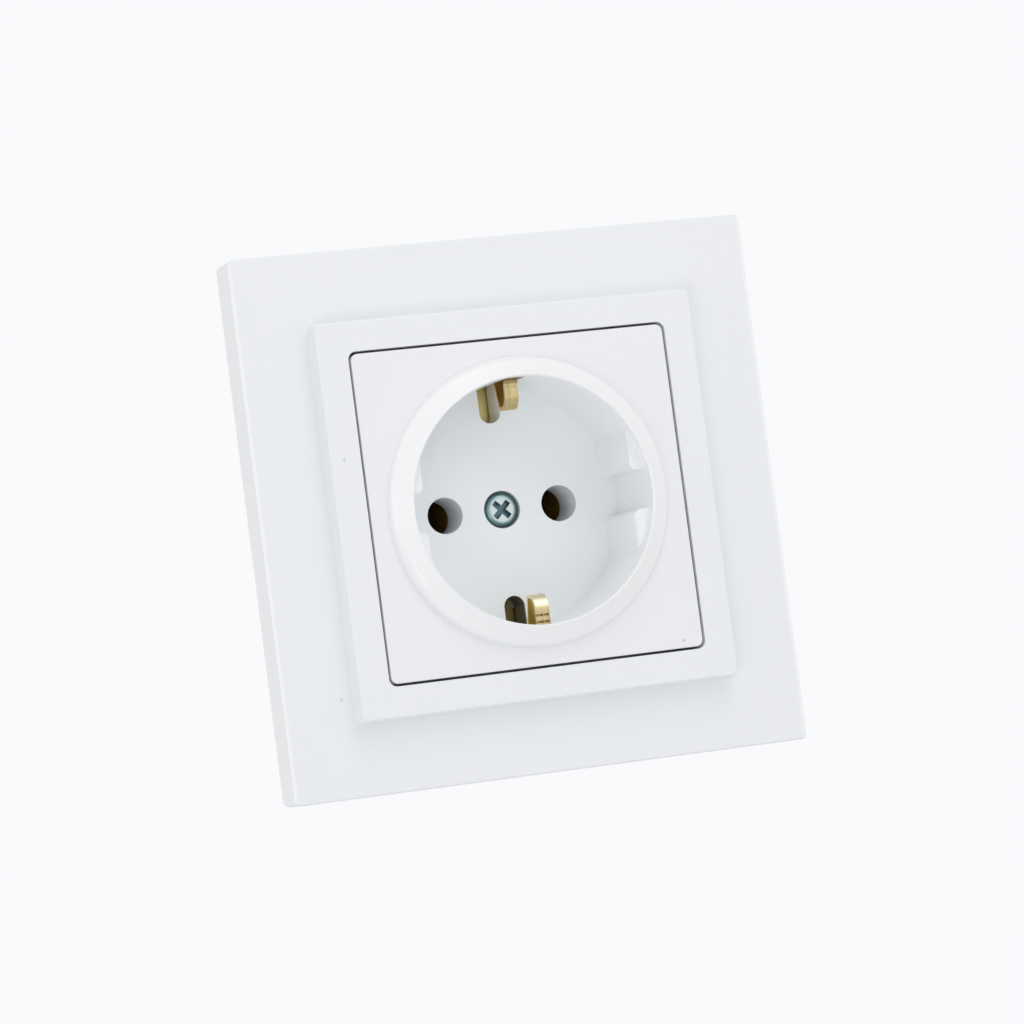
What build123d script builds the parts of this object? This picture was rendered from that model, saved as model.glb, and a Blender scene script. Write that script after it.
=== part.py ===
from build123d import *
import math
import os

os.makedirs("parts", exist_ok=True)

# Wall socket with earth springs, as it hangs on the wall
# Lengths in millimetres. The wall plane is y = 0, the front looks along -y and z is up,
# so a larger y lies deeper in the wall.

# Decor frame
frame_side = 84.4
frame_corner = 1.0
frame_depth = 7.5
frame_edge = 0.35
step_foot = 62.2
step_top = 61.5
step_height = 3.5
step_corner = 1.2
step_edge = 0.4
frame_wall = 2.0
rib_thick = 1.2
rib_spacing = 30.0
rib_back = 2.0
rib_root = 0.2

# Gap between the cover and the frame
gap = 0.4
opening_side = 51.9
opening_corner = 1.3
ledge_thick = 1.5
ledge_opening = 47.5

# Cover with its collar and recess
cover_plate_thick = 2.0
cover_edge = 0.2
skirt_wall = 2.0
collar_outer_band = 1.35
collar_inner_band = 2.1
collar_ridge_height = 1.9
collar_height = 3.4
collar_bulge = 0.28
collar_lip = 0.2
recess_r = 19.35
recess_depth = 17.5
cup_wall = 2.0
cup_floor = 4.0

# Guide pads on both sides of the recess
pad_thick = 2.37
pad_groove = 6.1
pad_height = 14.2
pad_slope = 0.7
pad_round = 1.15

# Pins and their barrels
pin_pitch = 19.0
pin_hole_r = 2.9
barrel_r = 4.3
barrel_length = 4.3
barrel_gap = 0.1

# Slots for the earth springs
slot_width = 3.45
slot_reach = 5.55
slot_below_rim = 2.0
slot_wall_left = 0.35
slot_outer_depth = 3.3
slot_guide_wall = 1.2
slot_guide_depth = 5.7
slot_run_out = 0.5

# Cover screw and its threaded bush
head_r = 2.8
head_seat_r = 3.0
head_height = 1.8
head_sunk = 0.2
head_edge = 0.85
cross_width = 0.95
cross_length = 3.4
cross_depth = 1.1
cross_turn = 45.0
screw_end_bevel = 0.4
m3_shank_r = 1.45
m3_bore_r = 1.5
m3_clear_r = 1.7
screw_reach = 8.0
bush_r = 2.75
bush_length = 9.0

# Support plate with its claw lugs
plate_side = 71.0
plate_corner = 4.0
plate_thick = 1.2
plate_hole_clear = 0.6
plate_notch_width = 4.6
plate_notch_clear = 1.1
box_screw_pitch = 60.0
box_screw_hole_r = 2.1
turn_slot_width = 3.4
turn_slot_angle = 18.0
corner_hole_r = 1.6
corner_hole_inset = 5.0
rivet_out = 2.0
ear_angle = 45.0
rivet_r = 1.2
rivet_head_r = 2.0
rivet_head_height = 0.8
rivet_clear = 0.05
lug_inner = 6.0
lug_thick = 1.2

# Spreader claws
claw_ring_gap = 0.35
claw_pin_y = 4.0
claw_pin_r = 1.0
claw_running_fit = 0.05
pin_seat_fit = 0.02
claw_eye_r = 1.65
claw_eye_gap = 0.4
claw_sheet = 1.2
claw_reach = 23.0
claw_window = 6.2
claw_window_inset = 2.0
claw_foot = 3.6
claw_tooth = 1.0
claw_teeth = 4
claw_fork_length = 4.6
claw_fork_width = 6.8
claw_fork_slot = 3.6
claw_fork_root = 1.3
claw_swing = 25.0
claw_screw_gap = 0.35
claw_head_r = 2.2
claw_head_height = 1.3
claw_screw_length = 12.0
claw_nut_half = 2.0
claw_nut_thick = 2.0
claw_nut_gap = 0.4
pin_rivet_r = 1.5
pin_rivet_thick = 0.5
claw_notch_width = 5.6
claw_notch_depth = 1.7
claw_notch_spare = 0.3

# Socket base
ring_clear = 0.25
ring_wall = 1.9
ring_flat_wall = 0.9
ear_r = 3.0
ear_thick = 3.0
block_side = 44.0
block_cut = 10.0
block_back = 26.0
barrel_clear = 0.15
terminal_x = 12.0
terminal_z = -12.0
earth_terminal_x = 11.5
earth_terminal_z = 12.2
head_clear = 0.2
pole_outer = 16.2
pole_inner = 4.6
pole_low = -16.0
pole_high = 5.2
earth_low = 7.8
earth_high = 16.3
earth_inner = 3.0

# Contacts
leaf_thick = 0.6
leaf_root_gap = 3.3
leaf_pinch_gap = 2.2
leaf_end_gap = 2.7
leaf_half_width = 3.0
leaf_length = 9.0
leaf_pinch_share = 0.5
pin_pass = 6.2
contact_plate = 0.8
contact_rim = 1.0
contact_tail_inset = 0.3
spring_thick = 0.45
spring_front = 0.5
spring_length = 2.6
spring_side_clear = 0.05
spring_end_clear = 0.15
terminal_side = 7.8
terminal_depth = 7.6
terminal_head_r = 2.6
terminal_head_height = 1.8
wire_offset = 2.3
wire_r = 1.1

# Earth strip
strip_thick = 0.6
strip_width = 2.2
bridge_width = 8.0
bridge_half = 20.5
bridge_hole_r = 3.0
arm_clear = 0.15
arm_back_clear = 0.4
arm_bend = 0.8
lower_loop_reach = 4.78
upper_loop_reach = 4.25
loop_end_gap = 1.1
loop_back_bend = 0.7
lower_tip_bend = 2.2
upper_tip_bend = 2.1
groove_reach = 3.15
groove_pitch = 1.05
groove_width = 0.3
groove_depth = 0.3
earth_wing_z = 9.0
earth_wing_height = 6.6
earth_wing_outer = 15.4

# Holder that keeps the earth strip down on the base
holder_gap = 0.1
holder_thick = 0.4
holder_clear = 0.05
holder_low = -15.5
holder_high = -11.3
holder_leg = 1.2
holder_side_clear = 0.15
holder_peg = 1.0
holder_fit = 0.02

# Back cover
back_cover_thick = 2.2
funnel_r = 1.9
back_screw_a = (-11.0, 12.0)
back_screw_b = (0.0, -13.0)
back_head_r = 2.6
back_head_height = 1.5
back_screw_depth = 8.0
back_pilot_r = 1.45
back_pilot_spare = 1.0
back_cover_bevel = 0.6

# Levels along the depth
face_y = -(frame_depth + step_height)
plate_front_y = -plate_thick
ledge_front_y = plate_front_y - ledge_thick
cover_back_y = face_y + cover_plate_thick
rim_y = face_y - collar_height
floor_y = rim_y + recess_depth
cup_back_y = floor_y + cup_floor
barrel_back_y = cup_back_y + barrel_length
slot_guide_back_y = floor_y + slot_guide_depth
holder_front_y = slot_guide_back_y + holder_gap
bridge_front_y = holder_front_y + holder_thick + holder_clear
ring_depth = bridge_front_y + strip_thick
cavity_front_y = barrel_back_y + barrel_gap
block_face = cavity_front_y - ring_depth
contact_back_y = cavity_front_y + contact_plate
cover_side = opening_side - 2 * gap
cover_corner = opening_corner - gap / 2
collar_ridge_r = recess_r + collar_inner_band
collar_foot_r = collar_ridge_r + collar_outer_band
cup_outer_r = recess_r + cup_wall
pad_flat = recess_r - pad_thick
slot_inner = recess_r - slot_reach
pin_x = pin_pitch / 2
bridge_y = ring_depth - strip_thick / 2
arm_z = cup_outer_r + arm_clear + strip_thick / 2
slot_outer = arm_z + strip_thick / 2 + arm_back_clear
lower_loop_tip = recess_r - lower_loop_reach
upper_loop_tip = recess_r - upper_loop_reach
loop_end = arm_z - strip_thick / 2 - loop_end_gap
ring_inner_r = cup_outer_r + ring_clear
ring_outer_r = ring_inner_r + ring_wall
ring_flat = ring_inner_r + ring_flat_wall
plate_hole_r = ring_inner_r + plate_hole_clear
plate_notch_r = arm_z + strip_thick / 2 + plate_notch_clear
rivet_circle_r = ring_outer_r + rivet_out
block_half = block_side / 2
claw_pin_x = max(ring_flat, block_half) + claw_ring_gap + claw_eye_r
claw_screw_x = claw_pin_x + claw_eye_r + claw_screw_gap + m3_shank_r
holder_mid = (holder_low + holder_high) / 2
holder_leg_x = bridge_width / 2 + holder_side_clear + holder_leg / 2


def level(y):
    """Plane facing the front at depth y, with its local axes along x and z."""
    return Plane.XZ.offset(-y)


# Decor frame, hollow behind, with a ledge the cover's skirt stands on
step_taper = math.degrees(math.atan((step_foot - step_top) / 2 / step_height))
hollow_side = frame_side - 2 * frame_wall
inner_wall_side = opening_side + 2 * frame_wall
step_hollow_side = step_foot - 2 * frame_wall
rib_length = (hollow_side - inner_wall_side) / 2 + 2 * rib_root
rib_centre = (hollow_side + inner_wall_side) / 4
with BuildPart() as decor_frame:
    with BuildSketch(level(0)):
        RectangleRounded(frame_side, frame_side, frame_corner)
    extrude(amount=frame_depth)
    fillet(decor_frame.edges().group_by(Axis.Y)[0], frame_edge)
    with BuildSketch(level(-frame_depth)):
        RectangleRounded(step_foot, step_foot, step_corner)
    extrude(amount=step_height, taper=step_taper)
    fillet(decor_frame.edges().group_by(Axis.Y)[0], step_edge)
    with BuildSketch(level(0)):
        RectangleRounded(hollow_side, hollow_side, frame_corner)
    extrude(amount=plate_thick, mode=Mode.SUBTRACT)
    with BuildSketch(level(0)):
        RectangleRounded(hollow_side, hollow_side, frame_corner)
        RectangleRounded(inner_wall_side, inner_wall_side, opening_corner, mode=Mode.SUBTRACT)
    extrude(amount=frame_depth - frame_wall, mode=Mode.SUBTRACT)
    with BuildSketch(level(0)):
        RectangleRounded(step_hollow_side, step_hollow_side, opening_corner)
        RectangleRounded(inner_wall_side, inner_wall_side, opening_corner, mode=Mode.SUBTRACT)
    extrude(amount=frame_depth + step_height - frame_wall, mode=Mode.SUBTRACT)
    for turn in range(4):
        with BuildSketch(level(-rib_back)):
            for sign in (-1, 1):
                place = Vector(rib_centre, sign * rib_spacing / 2).rotate(Axis.Z, 90 * turn)
                with Locations(Location((place.X, place.Y), 90 * turn)):
                    Rectangle(rib_length, rib_thick)
        extrude(amount=frame_depth - frame_wall - rib_back)
    with BuildSketch(level(ledge_front_y)):
        RectangleRounded(opening_side, opening_side, opening_corner)
    extrude(amount=frame_depth + step_height, mode=Mode.SUBTRACT)
    with BuildSketch(level(0)):
        RectangleRounded(ledge_opening, ledge_opening, opening_corner)
    extrude(amount=frame_depth, mode=Mode.SUBTRACT)
    for side in (-1, 1):
        with BuildSketch(level(plate_front_y)):
            with Locations((side * (ledge_opening / 2 + inner_wall_side / 2) / 2, 0)):
                notch_length = (inner_wall_side - ledge_opening) / 2 + 2 * claw_notch_spare
                Rectangle(notch_length, claw_notch_width)
        extrude(amount=claw_notch_depth, mode=Mode.SUBTRACT)
decor_frame.part.label = "decor_frame"
export_step(decor_frame.part, "parts/decor_frame.step")

# Cover plate with its skirt, collar, recess cup, guide pads and pin barrels
pad_back = recess_r + cup_wall / 2
pad_half = math.sqrt(pad_back**2 - pad_flat**2)
pad_front_y = floor_y - pad_height
skirt_inner_side = cover_side - 2 * skirt_wall
with BuildPart() as cover_plate:
    with BuildSketch(level(cover_back_y)):
        RectangleRounded(cover_side, cover_side, cover_corner)
    extrude(amount=cover_plate_thick)
    fillet(cover_plate.faces().sort_by(Axis.Y)[0].edges(), cover_edge)
    with BuildSketch(level(cover_back_y)):
        Circle(pad_back)
    extrude(amount=cover_plate_thick, mode=Mode.SUBTRACT)
    with BuildSketch(level(floor_y)) as pads:
        Circle(pad_back)
        Rectangle(2 * pad_flat, 4 * pad_flat, mode=Mode.SUBTRACT)
        Rectangle(4 * pad_flat, pad_groove, mode=Mode.SUBTRACT)
        by_groove = pads.vertices().filter_by(
            lambda v: abs(v.Y) < pad_groove and abs(v.X) < recess_r
        )
        fillet(by_groove, pad_round)
    extrude(amount=pad_height + pad_slope)
    # Sloped fronts of the pads, rounded over from the flat and rising towards the wall
    for side in (-1, 1):
        with BuildSketch(Plane.XY):
            with BuildLine():
                FilletPolyline(
                    (side * pad_flat, floor_y),
                    (side * pad_flat, pad_front_y),
                    (side * pad_back, pad_front_y - pad_slope),
                    radius=pad_round,
                )
                Polyline(
                    (side * pad_back, pad_front_y - pad_slope),
                    (side * pad_back, pad_front_y - 2 * pad_slope),
                    (side * (pad_flat - pad_slope), pad_front_y - 2 * pad_slope),
                    (side * (pad_flat - pad_slope), floor_y),
                    (side * pad_flat, floor_y),
                )
            make_face()
        extrude(amount=pad_half, both=True, mode=Mode.SUBTRACT)
    with BuildSketch(level(ledge_front_y)):
        RectangleRounded(cover_side, cover_side, cover_corner)
        RectangleRounded(skirt_inner_side, skirt_inner_side, cover_corner / 2, mode=Mode.SUBTRACT)
    extrude(amount=ledge_front_y - cover_back_y)
    with BuildSketch(Plane.XY):
        with BuildLine():
            Polyline(
                (0, floor_y),
                (recess_r, floor_y),
                (recess_r, rim_y + collar_lip),
                (recess_r + collar_lip, rim_y),
                (collar_ridge_r, face_y - collar_ridge_height),
            )
            SagittaArc(
                (collar_ridge_r, face_y - collar_ridge_height),
                (collar_foot_r, face_y),
                -collar_bulge,
            )
            Polyline(
                (collar_foot_r, face_y),
                (collar_foot_r, cover_back_y),
                (cup_outer_r, cover_back_y),
                (cup_outer_r, cup_back_y),
                (0, cup_back_y),
                (0, floor_y),
            )
        make_face()
    revolve(axis=Axis.Y)
    # Barrels behind the floor
    with BuildSketch(level(barrel_back_y)):
        with Locations((-pin_x, 0), (pin_x, 0)):
            Circle(barrel_r)
    extrude(amount=barrel_length)
    # Pin holes
    with BuildSketch(level(barrel_back_y)):
        with Locations((-pin_x, 0), (pin_x, 0)):
            Circle(pin_hole_r)
    extrude(amount=barrel_length + cup_floor, mode=Mode.SUBTRACT)
    # Seat and hole of the cover screw
    with Locations(level(floor_y)):
        CounterBoreHole(m3_clear_r, head_seat_r, head_height + head_sunk, depth=2 * cup_floor)
    # Guides that lengthen the slot walls behind the floor
    slot_mid = slot_inner + slot_width / 2
    slot_end = cup_outer_r - slot_wall_left
    guide_width = slot_width + 2 * slot_guide_wall
    with BuildSketch(level(slot_guide_back_y)):
        Rectangle(guide_width, 2 * slot_end)
        Rectangle(guide_width, 2 * slot_mid, mode=Mode.SUBTRACT)
        with Locations((0, -slot_mid), (0, slot_mid)):
            Circle(guide_width / 2)
    extrude(amount=slot_guide_depth - cup_floor / 2)
    # Slots for the earth springs, through the floor and out into the wall
    slot_start_y = slot_guide_back_y + slot_run_out
    with BuildSketch(level(slot_start_y)):
        Rectangle(slot_width, 2 * slot_outer)
        Rectangle(slot_width, 2 * slot_mid, mode=Mode.SUBTRACT)
    extrude(amount=slot_start_y - rim_y - slot_outer_depth, mode=Mode.SUBTRACT)
    with BuildSketch(level(slot_start_y)):
        Rectangle(slot_width, 2 * slot_end)
        Rectangle(slot_width, 2 * slot_mid, mode=Mode.SUBTRACT)
        with Locations((0, -slot_mid), (0, slot_mid)):
            Circle(slot_width / 2)
    extrude(amount=slot_start_y - rim_y - slot_below_rim, mode=Mode.SUBTRACT)
cover_plate.part.label = "cover_plate"
export_step(cover_plate.part, "parts/cover_plate.step")

# Cover screw with a cross recess turned across the axes
head_front_y = floor_y + head_sunk
head_back_y = head_front_y + head_height
with BuildPart() as cover_screw:
    with BuildSketch(level(head_back_y)):
        Circle(head_r)
    extrude(amount=head_height)
    fillet(cover_screw.edges().sort_by(Axis.Y)[0], head_edge)
    with BuildSketch(level(head_front_y)):
        Rectangle(cross_length, cross_width, rotation=cross_turn)
        Rectangle(cross_length, cross_width, rotation=-cross_turn)
    extrude(amount=-cross_depth, mode=Mode.SUBTRACT)
    with BuildSketch(level(cup_back_y + screw_reach)):
        Circle(m3_shank_r)
    extrude(amount=cup_back_y + screw_reach - head_back_y)
    chamfer(cover_screw.edges().sort_by(Axis.Y)[-1], screw_end_bevel)
cover_screw.part.label = "cover_screw"
export_step(cover_screw.part, "parts/cover_screw.step")

# Threaded brass bush the cover screw runs into
with BuildPart() as centre_insert:
    with BuildSketch(level(cup_back_y + bush_length)):
        Circle(bush_r)
        Circle(m3_bore_r, mode=Mode.SUBTRACT)
    extrude(amount=bush_length)
centre_insert.part.label = "centre_insert"
export_step(centre_insert.part, "parts/centre_insert.step")

# Steel support plate with screw holes, turning slots and bent claw lugs
corner_hole = plate_side / 2 - corner_hole_inset
with BuildPart() as support_plate:
    with BuildSketch(level(0)):
        RectangleRounded(plate_side, plate_side, plate_corner)
        Circle(plate_hole_r, mode=Mode.SUBTRACT)
        Rectangle(plate_notch_width, 2 * plate_notch_r, mode=Mode.SUBTRACT)
        with Locations((0, box_screw_pitch / 2), (0, -box_screw_pitch / 2)):
            Circle(box_screw_hole_r, mode=Mode.SUBTRACT)
        with GridLocations(2 * corner_hole, 2 * corner_hole, 2, 2):
            Circle(corner_hole_r, mode=Mode.SUBTRACT)
        with Locations((claw_screw_x, 0), (-claw_screw_x, 0)):
            Circle(m3_clear_r, mode=Mode.SUBTRACT)
        with PolarLocations(rivet_circle_r, 4, ear_angle):
            Circle(rivet_r + rivet_clear, mode=Mode.SUBTRACT)
        for turn in range(4):
            start = ear_angle + 90 * turn - turn_slot_angle / 2
            arc = CenterArc((0, 0), box_screw_pitch / 2, start, turn_slot_angle, mode=Mode.PRIVATE)
            SlotArc(arc, turn_slot_width, mode=Mode.SUBTRACT)
    extrude(amount=plate_thick)
    for side in (-1, 1):
        for foot in (lug_inner, -lug_inner - lug_thick):
            with BuildSketch(Plane.XY.offset(foot)):
                with Locations((side * claw_pin_x, claw_pin_y / 2 - plate_thick / 4)):
                    Rectangle(2 * claw_eye_r, claw_pin_y + plate_thick / 2)
                with Locations((side * claw_pin_x, claw_pin_y)):
                    Circle(claw_eye_r)
                    Circle(claw_pin_r + pin_seat_fit, mode=Mode.SUBTRACT)
            extrude(amount=lug_thick)
support_plate.part.label = "support_plate"
export_step(support_plate.part, "parts/support_plate.step")

# Socket base, a ring with ears and an octagonal block with contact chambers
with BuildPart() as socket_base:
    with BuildSketch(level(ring_depth)):
        Circle(ring_outer_r)
        Rectangle(2 * ring_flat, 4 * ring_outer_r, mode=Mode.INTERSECT)
    extrude(amount=ring_depth)
    with BuildSketch(level(ear_thick)):
        with PolarLocations(rivet_circle_r, 4, ear_angle):
            Circle(ear_r)
        with PolarLocations(rivet_circle_r - ear_r / 2, 4, ear_angle):
            Rectangle(ear_r, 2 * ear_r)
    extrude(amount=ear_thick)
    with BuildSketch(level(ring_depth)):
        Circle(ring_inner_r)
    extrude(amount=ring_depth, mode=Mode.SUBTRACT)
    with BuildSketch(level(block_back)) as outline:
        Rectangle(block_side, block_side)
        chamfer(outline.vertices(), block_cut)
    extrude(amount=block_back - ring_depth)
    with BuildSketch(level(ring_depth + block_face)):
        Circle(ring_outer_r)
        Rectangle(2 * ring_flat, 4 * ring_outer_r, mode=Mode.INTERSECT)
    extrude(amount=block_face)
    # Notches in the ring for the earth arms
    with BuildSketch(level(ring_depth)):
        Rectangle(plate_notch_width, 2 * (arm_z + strip_thick / 2 + arm_back_clear))
    extrude(amount=ring_depth, mode=Mode.SUBTRACT)
    # Chambers of both poles and of the earth terminal, open to the back
    with BuildSketch(level(block_back)):
        for side in (-1, 1):
            with Locations((side * (pole_outer + pole_inner) / 2, (pole_low + pole_high) / 2)):
                Rectangle(pole_outer - pole_inner, pole_high - pole_low)
        with Locations(((earth_inner + pole_outer) / 2, (earth_low + earth_high) / 2)):
            Rectangle(pole_outer - earth_inner, earth_high - earth_low)
    extrude(amount=block_back - cavity_front_y, mode=Mode.SUBTRACT)
    # Front openings for the barrels, the terminal screws and the earth tab
    with BuildSketch(level(cavity_front_y)):
        with Locations((-pin_x, 0), (pin_x, 0)):
            Circle(barrel_r + barrel_clear)
        with Locations(
            (-terminal_x, terminal_z),
            (terminal_x, terminal_z),
            (earth_terminal_x, earth_terminal_z),
        ):
            Circle(terminal_head_r + head_clear)
        with Locations(
            (bridge_width / 2 - strip_thick / 2, earth_wing_z + earth_wing_height / 2)
        ):
            Rectangle(strip_thick + 2 * head_clear, earth_wing_height + 2 * head_clear)
    extrude(amount=block_face, mode=Mode.SUBTRACT)
    with BuildSketch(level(cup_back_y + bush_length)):
        Circle(bush_r)
    extrude(amount=bush_length, mode=Mode.SUBTRACT)
    # Pockets for the pegs of the strip holder
    with BuildSketch(level(ring_depth + holder_peg)):
        with Locations((-holder_leg_x, holder_mid), (holder_leg_x, holder_mid)):
            Rectangle(holder_leg + 2 * holder_fit, holder_high - holder_low + 2 * holder_fit)
    extrude(amount=holder_peg, mode=Mode.SUBTRACT)
    with BuildSketch(level(block_back)):
        with Locations(back_screw_a, back_screw_b):
            Circle(m3_bore_r)
    extrude(amount=back_screw_depth + back_pilot_spare, mode=Mode.SUBTRACT)
    with BuildSketch(level(ear_thick)):
        with PolarLocations(rivet_circle_r, 4, ear_angle):
            Circle(rivet_r + rivet_clear)
    extrude(amount=ear_thick, mode=Mode.SUBTRACT)
socket_base.part.label = "socket_base"
export_step(socket_base.part, "parts/socket_base.step")

# Rivets that hold the base behind the support plate
with BuildPart() as yoke_rivets:
    with BuildSketch(level(plate_front_y)):
        with PolarLocations(rivet_circle_r, 4, ear_angle):
            Circle(rivet_head_r)
    extrude(amount=rivet_head_height)
    with BuildSketch(level(ear_thick + rivet_head_height)):
        with PolarLocations(rivet_circle_r, 4, ear_angle):
            Circle(rivet_head_r)
    extrude(amount=rivet_head_height)
    with BuildSketch(level(ear_thick)):
        with PolarLocations(rivet_circle_r, 4, ear_angle):
            Circle(rivet_r)
    extrude(amount=ear_thick + plate_thick)
yoke_rivets.part.label = "yoke_rivets"
export_step(yoke_rivets.part, "parts/yoke_rivets.step")

# Earth strip, one brass band with a bridge, two arms and a hairpin loop at each end
# Heights of the loop legs above the recess floor, at the wall and at the tip
lower_loop = (13.7, 13.5, 10.4, 8.4)
upper_loop = (12.9, 12.0, 8.8, 7.0)
lower_front, lower_front_tip, lower_back_tip, lower_back = (floor_y - h for h in lower_loop)
upper_front, upper_front_tip, upper_back_tip, upper_back = (floor_y - h for h in upper_loop)
with BuildPart() as earth_contact:
    with BuildSketch(Plane.YZ):
        with BuildLine():
            FilletPolyline(
                (lower_back, -loop_end),
                (lower_back_tip, -lower_loop_tip),
                (lower_front_tip, -lower_loop_tip),
                (lower_front, -arm_z),
                (bridge_y, -arm_z),
                (bridge_y, arm_z),
                (upper_front, arm_z),
                (upper_front_tip, upper_loop_tip),
                (upper_back_tip, upper_loop_tip),
                (upper_back, loop_end),
                radius=(
                    loop_back_bend,
                    lower_tip_bend,
                    arm_bend,
                    arm_bend,
                    arm_bend,
                    arm_bend,
                    upper_tip_bend,
                    loop_back_bend,
                ),
            )
        trace(line_width=strip_thick)
    extrude(amount=strip_width / 2, both=True)
    with BuildSketch(level(ring_depth)):
        Rectangle(bridge_width, 2 * bridge_half)
    extrude(amount=strip_thick)
    # Fine cross grooves pressed into the front legs near the wall
    for tip_y, wall_y, tip_z, side in (
        (lower_front_tip, lower_front, lower_loop_tip, -1),
        (upper_front_tip, upper_front, upper_loop_tip, 1),
    ):
        for reach in (groove_reach, groove_reach + groove_pitch):
            leg_y = tip_y + (wall_y - tip_y) * reach / (arm_z - tip_z)
            with BuildSketch(level(leg_y - strip_thick / 2 + groove_depth)):
                with Locations((0, side * (tip_z + reach))):
                    Rectangle(2 * strip_width, groove_width)
            extrude(amount=strip_thick, mode=Mode.SUBTRACT)
    # Tab bent back to the earth terminal
    with BuildSketch(Plane.XY.offset(earth_wing_z)):
        with BuildLine():
            Polyline(
                (bridge_width / 2, bridge_y - strip_thick / 2),
                (bridge_width / 2, cavity_front_y),
                (earth_wing_outer, cavity_front_y),
                (earth_wing_outer, cavity_front_y + strip_thick),
                (bridge_width / 2 - strip_thick, cavity_front_y + strip_thick),
                (bridge_width / 2 - strip_thick, bridge_y - strip_thick / 2),
                close=True,
            )
        make_face()
    extrude(amount=earth_wing_height)
    with BuildSketch(level(cavity_front_y + strip_thick)):
        with Locations((earth_terminal_x, earth_terminal_z)):
            Circle(m3_clear_r)
    extrude(amount=strip_thick, mode=Mode.SUBTRACT)
    with BuildSketch(level(ring_depth)):
        Circle(bridge_hole_r)
    extrude(amount=strip_thick, mode=Mode.SUBTRACT)
earth_contact.part.label = "earth_contact"
export_step(earth_contact.part, "parts/earth_contact.step")

# Holder over the lower half of the earth strip, with pegs pressed into the base
with BuildPart() as strip_holder:
    with BuildSketch(level(holder_front_y + holder_thick)):
        with Locations((0, holder_mid)):
            Rectangle(2 * holder_leg_x + holder_leg, holder_high - holder_low)
    extrude(amount=holder_thick)
    with BuildSketch(level(ring_depth + holder_peg)):
        with Locations((-holder_leg_x, holder_mid), (holder_leg_x, holder_mid)):
            Rectangle(holder_leg, holder_high - holder_low)
    extrude(amount=ring_depth + holder_peg - holder_front_y)
strip_holder.part.label = "strip_holder"
export_step(strip_holder.part, "parts/strip_holder.step")

# Pole contacts, each a plate with a pin hole, two leaves and a way to its terminal
leaf_front_y = contact_back_y
pinch_y = leaf_front_y + leaf_pinch_share * leaf_length
leaf_end_y = leaf_front_y + leaf_length
tail_side = terminal_side - 2 * contact_tail_inset
for side, pole in ((-1, "live"), (1, "neutral")):
    with BuildPart() as contact:
        with BuildSketch(level(contact_back_y)):
            with Locations((side * pin_x, 0)):
                Rectangle(2 * (leaf_root_gap + leaf_thick), 2 * (leaf_half_width + contact_rim))
            with Locations((side * terminal_x, terminal_z / 2)):
                Rectangle(2 * terminal_head_r, -terminal_z)
            with Locations((side * terminal_x, terminal_z)):
                Rectangle(tail_side, tail_side)
                Circle(m3_clear_r, mode=Mode.SUBTRACT)
            with Locations((side * pin_x, 0)):
                Rectangle(pin_pass, pin_pass, mode=Mode.SUBTRACT)
        extrude(amount=contact_plate)
        for hand in (-1, 1):
            root_x = side * pin_x + hand * leaf_root_gap
            pinch_x = side * pin_x + hand * leaf_pinch_gap
            end_x = side * pin_x + hand * leaf_end_gap
            with BuildSketch(Plane.XY.offset(-leaf_half_width)):
                with BuildLine():
                    Polyline(
                        (root_x, cavity_front_y),
                        (pinch_x, pinch_y),
                        (end_x, leaf_end_y),
                        (end_x + hand * leaf_thick, leaf_end_y),
                        (pinch_x + hand * leaf_thick, pinch_y),
                        (root_x + hand * leaf_thick, cavity_front_y),
                        close=True,
                    )
                make_face()
            extrude(amount=2 * leaf_half_width)
    contact.part.label = pole + "_contact"
    export_step(contact.part, "parts/" + pole + "_contact.step")

# Steel clips that press the leaves together
for side, pole in ((-1, "live"), (1, "neutral")):
    clip_x = leaf_root_gap + leaf_thick + spring_side_clear
    clip_z = leaf_half_width + spring_end_clear
    with BuildPart() as clip:
        with BuildSketch(level(contact_back_y + spring_front + spring_length)):
            with Locations((side * pin_x, 0)):
                Rectangle(2 * (clip_x + spring_thick), 2 * (clip_z + spring_thick))
                Rectangle(2 * clip_x, 2 * clip_z, mode=Mode.SUBTRACT)
            with Locations((side * pin_x, clip_z)):
                Rectangle(clip_x, 2 * spring_thick, mode=Mode.SUBTRACT)
        extrude(amount=spring_length)
    clip.part.label = "contact_spring_" + pole
    export_step(clip.part, "parts/contact_spring_" + pole + ".step")

# Terminal clamps, brass blocks with a screw bore and two wire bores each
clamp_places = (
    ("live", -terminal_x, terminal_z),
    ("neutral", terminal_x, terminal_z),
    ("earth", earth_terminal_x, earth_terminal_z),
)
for name, x, z in clamp_places:
    clamp_front_y = cavity_front_y + (strip_thick if name == "earth" else contact_plate)
    with BuildPart() as clamp:
        with BuildSketch(level(clamp_front_y + terminal_depth)):
            with Locations((x, z)):
                Rectangle(terminal_side, terminal_side)
                Circle(m3_bore_r, mode=Mode.SUBTRACT)
            with Locations((x - wire_offset, z + wire_offset), (x + wire_offset, z - wire_offset)):
                Circle(wire_r, mode=Mode.SUBTRACT)
        extrude(amount=terminal_depth)
    clamp.part.label = "terminal_clamp_" + name
    export_step(clamp.part, "parts/terminal_clamp_" + name + ".step")

# Terminal screws, heads towards the front
with BuildPart() as terminal_screws:
    for name, x, z in clamp_places:
        with BuildSketch(level(cavity_front_y)):
            with Locations((x, z)):
                Circle(terminal_head_r)
        extrude(amount=terminal_head_height)
        with BuildSketch(level(cavity_front_y + terminal_depth)):
            with Locations((x, z)):
                Circle(m3_shank_r)
        extrude(amount=terminal_depth)
        with BuildSketch(level(cavity_front_y - terminal_head_height)):
            with Locations((x, z)):
                Rectangle(cross_length, cross_width, rotation=cross_turn)
                Rectangle(cross_length, cross_width, rotation=-cross_turn)
        extrude(amount=-cross_depth, mode=Mode.SUBTRACT)
terminal_screws.part.label = "terminal_screws"
export_step(terminal_screws.part, "parts/terminal_screws.step")

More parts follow.
